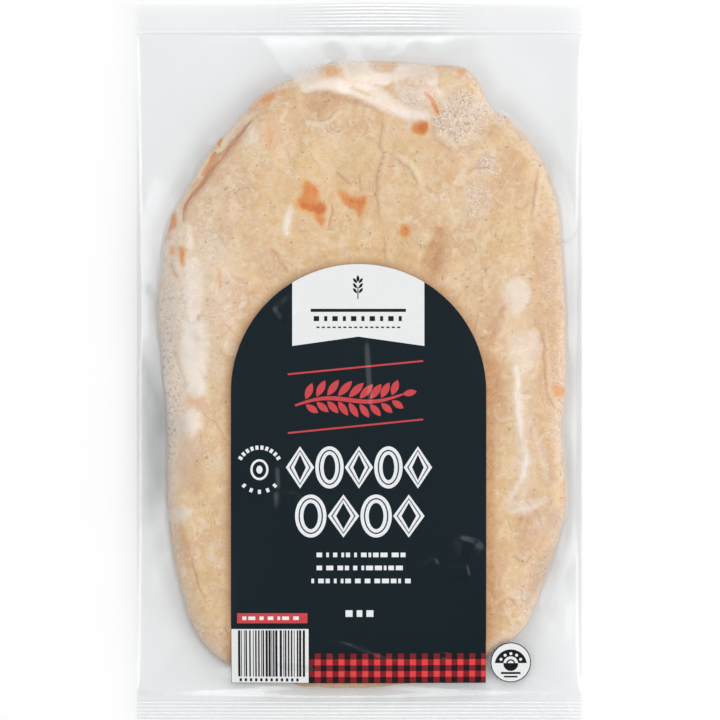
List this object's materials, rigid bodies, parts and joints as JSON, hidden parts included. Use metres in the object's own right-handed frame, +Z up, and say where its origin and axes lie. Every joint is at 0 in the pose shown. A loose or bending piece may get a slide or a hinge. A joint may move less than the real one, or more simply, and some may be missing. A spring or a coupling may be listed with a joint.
{
  "type": "packed pinsa bread",
  "caption": "Oval pinsa flatbread base sealed in a clear film bag, with an arched paper label and a round sticker on the film, lying on its back.",
  "frame": {"origin": "on the table, under the middle of the bag's box", "axes": "+X across the bag to the viewer's right, +Y along it to the upper seal, +Z up off the table"},
  "size_m": [0.216, 0.35, 0.0156],
  "materials": {
    "film": "clear glossy film",
    "label_paper": "printed, satin",
    "sticker_paper": "printed, satin",
    "bread": "floury baked crust"
  },
  "bodies": {
    "root": {"bag": "film", "label": "label_paper", "sticker": "sticker_paper"}
  },
  "joints": []
}
